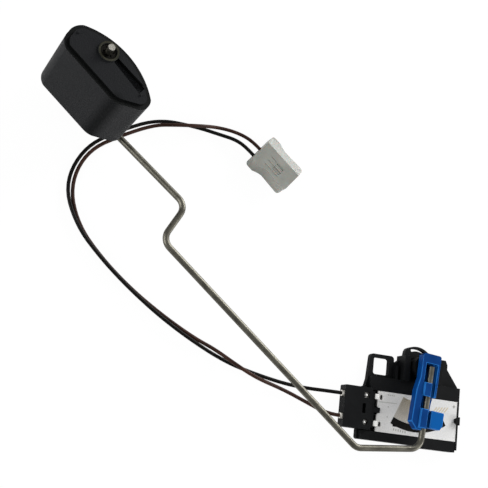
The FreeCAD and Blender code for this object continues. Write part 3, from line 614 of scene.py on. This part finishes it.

# %% [markdown]
# The float's face is a raised plateau with a pressed ledge round it and a collar round the wire.
# The ledge, the channel and the collar differ from the rest only in their material, so they need no
# piece of their own: each face of the float is sorted by how far it is below the top and how
# far from the wire. The ledge and channel faces get a near-black skin, painted shade in the
# recess, and the collar faces a lighter olive one.

# %% Skins of the float's face
spin = next(joint for joint in frame["record"]["behaviour"]["joints"] if joint["name"] == "float_spin")
wire_foot = Vector(spin["pos_m"])
wire_way = Vector(spin["axis"]).normalized()
float_top = max((vertex.co - wire_foot).dot(wire_way) for vertex in float_moulding.data.vertices)
collar_inner, collar_outer, collar_depth = 3.3 * mm, 4.3 * mm, 0.5 * mm
ledge_inner, ledge_depth, step_depth, channel_depth = 4.15 * mm, 1.2 * mm, 1.8 * mm, 3.5 * mm
for skin in (ledge_shade_skin, collar_skin):
    float_moulding.data.materials.append(skin)
painted = [0, 0]
for face in float_moulding.data.polygons:
    reaches = [float_moulding.data.vertices[index].co - wire_foot for index in face.vertices]
    depths = [float_top - reach.dot(wire_way) for reach in reaches]
    outs = [(reach - wire_way * reach.dot(wire_way)).length for reach in reaches]
    if min(outs) > ledge_inner and ledge_depth < max(depths) < channel_depth and min(depths) < step_depth:
        face.material_index = 1
        painted[0] += 1
    elif collar_inner < min(outs) and max(outs) < collar_outer and max(depths) < collar_depth:
        face.material_index = 2
        painted[1] += 1
print("float top", round(float_top, 5), "shaded ledge faces", painted[0], "collar faces", painted[1])

# %% [markdown]
# The round corner between the float's flat side and its facet is darker: painted shade. It is
# a soft change, which faces can't give, so the material measures it: the distance from the line
# where the two flat faces would meet fades the bloom, the gloss and the colour.

# %% Painted shade in the float's corner
corner_shade_start, corner_shade_end = 1.0 * mm, 5.0 * mm
four_sided = [face for face in float_moulding.data.polygons if len(face.vertices) == 4]
facet, side = sorted(four_sided, key=lambda face: face.area)[-2:]
planes = Matrix((side.normal, facet.normal, wire_way))
corner = planes.inverted() @ Vector(
    (side.center.dot(side.normal), facet.center.dot(facet.normal), wire_foot.dot(wire_way)))
from_corner = add(foam_tree, "ShaderNodeVectorMath", {1: corner}, {0: foam_place}, operation="SUBTRACT")
across = add(foam_tree, "ShaderNodeVectorMath", {1: wire_way}, {0: from_corner.outputs["Vector"]},
             operation="CROSS_PRODUCT")
reach_node = add(foam_tree, "ShaderNodeVectorMath", links={0: across.outputs["Vector"]}, operation="LENGTH")
corner_reach = reach_node.outputs["Value"]
# Painted shade: near black mixed in, with less sheen and gloss, towards the corner line.
blend_over(foam_tree, foam_surface, spread(foam_tree, corner_reach, 0.6, 0.0, corner_shade_start, corner_shade_end), "#040505")
for socket, at_corner, elsewhere in (("Sheen Weight", 0.022, 0.06), ("Specular IOR Level", 0.03, 0.08)):
    faded = spread(foam_tree, corner_reach, at_corner, elsewhere, corner_shade_start, corner_shade_end)
    foam_tree.links.new(faded, foam_surface.inputs[socket])
print("corner line through", [round(value, 4) for value in corner])

# %% [markdown]
# Solder on the terminals: the tongues are soldered to the card's pads, and welded through the
# block's two openings. A solder joint is a low dome with a soft square outline, so its mesh is
# rings of points on a superellipse, each ring higher and smaller, closed by a flat bottom.

# %% Solder domes
solder = fired_ink("solder_tin_reflowed", "#dededa", "#f4f4f1", roughness=0.38)


def solder_dome(name, centre, half_size, rise, squareness):
    """A dome on centre; squareness 2 gives an ellipse, 4 a rounded square. Sizes in millimetres."""
    form = bmesh.new()
    around, rings = 20, 5
    layers = []
    for ring in range(rings):
        tilt = ring / rings * math.pi / 2
        layer = []
        for step in range(around):
            turn = step / around * 2 * math.pi
            u, v = (math.copysign(abs(wave) ** (2 / squareness), wave) * half * math.cos(tilt)
                    for wave, half in zip((math.cos(turn), math.sin(turn)), half_size))
            layer.append(form.verts.new((Vector(centre) + Vector((u, v, rise * math.sin(tilt)))) * mm))
        layers.append(layer)
    for low, high in zip(layers, layers[1:]):
        for step in range(around):
            form.faces.new((low[step], low[(step + 1) % around], high[(step + 1) % around], high[step]))
    top = form.verts.new((Vector(centre) + Vector((0, 0, rise))) * mm)
    for step in range(around):
        form.faces.new((layers[-1][step], layers[-1][(step + 1) % around], top))
    form.faces.new(reversed(layers[0]))
    mesh = bpy.data.meshes.new(name)
    form.to_mesh(mesh)
    form.free()
    for face in mesh.polygons:
        face.use_smooth = len(face.vertices) < 5
    mesh.materials.append(solder)
    piece = link_to_scene(bpy.data.objects.new(name, mesh))
    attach(piece, "head")


tongue_rise, sunk_in = 0.6, 0.02
pad_x, pad_half, pad_rise = -19.75, (1.15, 1.25), 0.22
weld_x, weld_half, weld_rise = -25.55, (0.95, 0.95), 1.5
dome_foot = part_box("resistor_card")[1].z / mm + tongue_rise - sunk_in
for label, pad_y in (("upper", -15.8), ("lower", -27.5)):
    solder_dome("pad_solder_" + label, (pad_x, pad_y, dome_foot), pad_half, pad_rise, squareness=4.0)
    solder_dome("weld_" + label, (weld_x, pad_y, dome_foot), weld_half, weld_rise, squareness=2.0)
print("solder domes", 4)

# %% [markdown]
# Two small details are plain boxes: the thin wall of the head that closes the card's right side
# level with its face, and on the plug the nylon latch in its pocket with three low ribs.

# %% Small mouldings


def small_box(name, low, high, place, material, body):
    """A closed box between two corners in millimetres, in the frame of place."""
    form = bmesh.new()
    size = (Vector(high) - Vector(low)) * mm
    centre = (Vector(low) + Vector(high)) / 2 * mm
    bmesh.ops.create_cube(form, size=1.0, matrix=place @ Matrix.Translation(centre) @ Matrix.Diagonal((*size, 1.0)))
    mesh = bpy.data.meshes.new(name)
    form.to_mesh(mesh)
    form.free()
    mesh.materials.append(material)
    piece = link_to_scene(bpy.data.objects.new(name, mesh))
    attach(piece, body)


card_low, card_high = (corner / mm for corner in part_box("resistor_card"))
head_low, head_high = (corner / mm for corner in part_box("sender_body"))
wall_gap, wall_past, wall_rise, wall_foot, wall_start = 0.02, 0.05, 0.12, 0.4, 1.0
wall_low = (card_high.x + wall_gap, head_low.y + wall_start, card_low.z - wall_foot)
wall_high = (head_high.x - wall_gap, card_high.y + wall_past, card_high.z + wall_rise)
small_box("card_side_wall", wall_low, wall_high, Matrix.Identity(4), black_acetal, "head")

latch_middle, latch_half, latch_start, latch_end = -2.75, 1.45, 9.65, 13.35
pocket_depth, latch_thickness = 0.6, 0.5
latch_foot = plug_height - pocket_depth
latch_top = latch_foot + latch_thickness
small_box("plug_latch", (latch_start, latch_middle - latch_half, latch_foot),
          (latch_end, latch_middle + latch_half, latch_top), plug_place, natural_nylon, "head")
rib_start, rib_end, rib_half, rib_pitch, rib_rise = 5.6, 13.8, 0.2, 2.25, 0.12
for rib in range(3):
    rib_v = latch_middle + (rib - 1) * rib_pitch
    small_box("plug_rib_" + str(rib), (rib_start, rib_v - rib_half, latch_top),
              (rib_end, rib_v + rib_half, plug_height + rib_rise), plug_place, natural_nylon, "head")
print("small mouldings", 5)

# %% [markdown]
# The conductor lines on the card are many thin strips, all at the same step round the pivot.
# That is a rule, so Geometry Nodes makes them: one strip is put on each of a number of points
# that share one place, and each copy is turned by its own index times the pitch. Inputs with
# names mean that the same tree could print another card. The CAD has coarser lines here.

# %% Conductor lines by Geometry Nodes


def node_tree_with(name, inputs):
    """A geometry tree with a geometry output and inputs given as (name, socket kind)."""
    tree = bpy.data.node_groups.new(name, "GeometryNodeTree")
    tree.interface.new_socket("Geometry", in_out="OUTPUT", socket_type="NodeSocketGeometry")
    for label, kind in inputs:
        tree.interface.new_socket(label, in_out="INPUT", socket_type=kind)
    return tree, add(tree, "NodeGroupInput").outputs, add(tree, "NodeGroupOutput")


def run_tree(tree, name, values):
    """The tree's result as a plain mesh. Inputs are set by identifier, before it first runs."""
    carrier = link_to_scene(bpy.data.objects.new(name + "_carrier", bpy.data.meshes.new(name + "_carrier")))
    modifier = carrier.modifiers.new("build", "NODES")
    modifier.node_group = tree
    for item in tree.interface.items_tree:
        if item.item_type == "SOCKET" and item.in_out == "INPUT":
            modifier[item.identifier] = values[item.name]
    return plain_mesh(carrier, name)


def finished_output(tree, output, geometry, material_socket):
    """Instances made real and given their material, as the last steps of a tree."""
    real = add(tree, "GeometryNodeRealizeInstances", links={"Geometry": geometry})
    painted = add(tree, "GeometryNodeSetMaterial", links={"Geometry": real.outputs[0], "Material": material_socket})
    tree.links.new(painted.outputs["Geometry"], output.inputs["Geometry"])


number, whole, stuff = "NodeSocketFloat", "NodeSocketInt", "NodeSocketMaterial"
fan_tree, fan_in, fan_out = node_tree_with("radial_print", [
    ("Count", whole), ("Start", number), ("Pitch", number), ("Inner", number), ("Outer", number),
    ("Width", number), ("Thickness", number), ("Height", number), ("Ink", stuff)])
fan_length = add(fan_tree, "ShaderNodeMath", links={0: fan_in["Outer"], 1: fan_in["Inner"]}, operation="SUBTRACT")
fan_ends = add(fan_tree, "ShaderNodeMath", links={0: fan_in["Outer"], 1: fan_in["Inner"]}, operation="ADD")
fan_middle = add(fan_tree, "ShaderNodeMath", {1: 0.5}, {0: fan_ends.outputs[0]}, operation="MULTIPLY")
fan_size = add(fan_tree, "ShaderNodeCombineXYZ",
               links={"X": fan_length.outputs[0], "Y": fan_in["Width"], "Z": fan_in["Thickness"]})
strip = add(fan_tree, "GeometryNodeMeshCube", links={"Size": fan_size.outputs[0]})
fan_place = add(fan_tree, "ShaderNodeCombineXYZ", links={"X": fan_middle.outputs[0], "Z": fan_in["Height"]})
moved_strip = add(fan_tree, "GeometryNodeTransform",
                  links={"Geometry": strip.outputs["Mesh"], "Translation": fan_place.outputs[0]})
places = add(fan_tree, "GeometryNodePoints", links={"Count": fan_in["Count"]})
index = add(fan_tree, "GeometryNodeInputIndex")
steps = add(fan_tree, "ShaderNodeMath", links={0: index.outputs[0], 1: fan_in["Pitch"]}, operation="MULTIPLY")
angle = add(fan_tree, "ShaderNodeMath", links={0: steps.outputs[0], 1: fan_in["Start"]}, operation="ADD")
turn = add(fan_tree, "ShaderNodeCombineXYZ", links={"Z": angle.outputs[0]})
rotation = add(fan_tree, "FunctionNodeEulerToRotation", links={0: turn.outputs[0]})
copies = add(fan_tree, "GeometryNodeInstanceOnPoints", links={
    "Points": places.outputs[0], "Instance": moved_strip.outputs[0], "Rotation": rotation.outputs[0]})
finished_output(fan_tree, fan_out, copies.outputs[0], fan_in["Ink"])

card_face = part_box("resistor_card")[1].z
ink_thickness = 0.04 * mm
fan_lines = run_tree(fan_tree, "conductor_lines", {
    "Count": 34, "Start": math.radians(-114.0), "Pitch": math.radians(0.85), "Inner": 15.6 * mm, "Outer": 25.7 * mm,
    "Width": 0.16 * mm, "Thickness": ink_thickness, "Height": card_face + ink_thickness / 2, "Ink": silver_ink})
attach(fan_lines, "head")
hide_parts("conductor_print")
print("conductor lines", len(fan_lines.data.polygons) // 6)

# %% [markdown]
# Small prints on the card are rows of equal bars: trimming marks along its lower edge and
# plain tick marks elsewhere. A second tree puts one bar on each point of a line.

# %% Rows of printed marks
row_tree, row_in, row_out = node_tree_with("printed_row", [
    ("Count", whole), ("First", "NodeSocketVector"), ("Step", "NodeSocketVector"), ("Size", "NodeSocketVector"),
    ("Turn", number), ("Ink", stuff)])
row_line = add(row_tree, "GeometryNodeMeshLine",
               links={"Count": row_in["Count"], "Start Location": row_in["First"], "Offset": row_in["Step"]})
bar = add(row_tree, "GeometryNodeMeshCube", links={"Size": row_in["Size"]})
bar_turn = add(row_tree, "ShaderNodeCombineXYZ", links={"Z": row_in["Turn"]})
bar_rotation = add(row_tree, "FunctionNodeEulerToRotation", links={0: bar_turn.outputs[0]})
bars = add(row_tree, "GeometryNodeInstanceOnPoints", links={
    "Points": row_line.outputs["Mesh"], "Instance": bar.outputs["Mesh"], "Rotation": bar_rotation.outputs[0]})
finished_output(row_tree, row_out, bars.outputs[0], row_in["Ink"])


def printed_row(name, count, first, step, size, turn_deg, ink, slot_name):
    """A row of bars on the card's face; places and sizes in millimetres."""
    row = run_tree(row_tree, name, {
        "Count": count, "First": [first[0] * mm, first[1] * mm, card_face + ink_thickness / 2],
        "Step": [step[0] * mm, step[1] * mm, 0.0], "Size": [size[0] * mm, size[1] * mm, ink_thickness],
        "Turn": math.radians(turn_deg), "Ink": ink})
    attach(row, "head")


# name, count, first centre, step, bar size, turn in degrees, ink, slot
rows = (
    ("trim_marks", 6, (-10.2, -28.9), (1.15, -0.12), (0.42, 0.95), 0.0, grey_ink, "silver_ink"),
    ("tick_marks", 4, (-14.0, -14.35), (0.95, 0.0), (0.5, 0.4), 0.0, grey_ink, "silver_ink"),
    ("lead_stripe", 1, (-13.9, -17.7), (1.0, 0.0), (8.6, 0.4), 1.5, pale_grey_ink, "silver_ink"),
    ("test_dots", 2, (-13.6, -19.5), (-0.25, -4.4), (0.5, 0.5), 45.0, grey_ink, "silver_ink"),
    ("track_pad", 1, (-9.7, -26.9), (1.0, 0.0), (2.3, 1.6), 0.0, resistor_ink, "resistor_ink"),
    ("ochre_bars", 5, (9.8, -17.9), (1.45, 0.15), (0.32, 3.0), -38.0, ochre_ink, "silver_ink"),
    ("corner_mark", 1, (19.5, -15.4), (1.0, 0.0), (1.0, 1.0), 45.0, grey_ink, "silver_ink"),
)
for row in rows:
    printed_row(*row)
print("printed rows", len(rows))

# %% [markdown]
# Both leads end in the same connector; each has its own contact in it.

print("declared leads", 2)
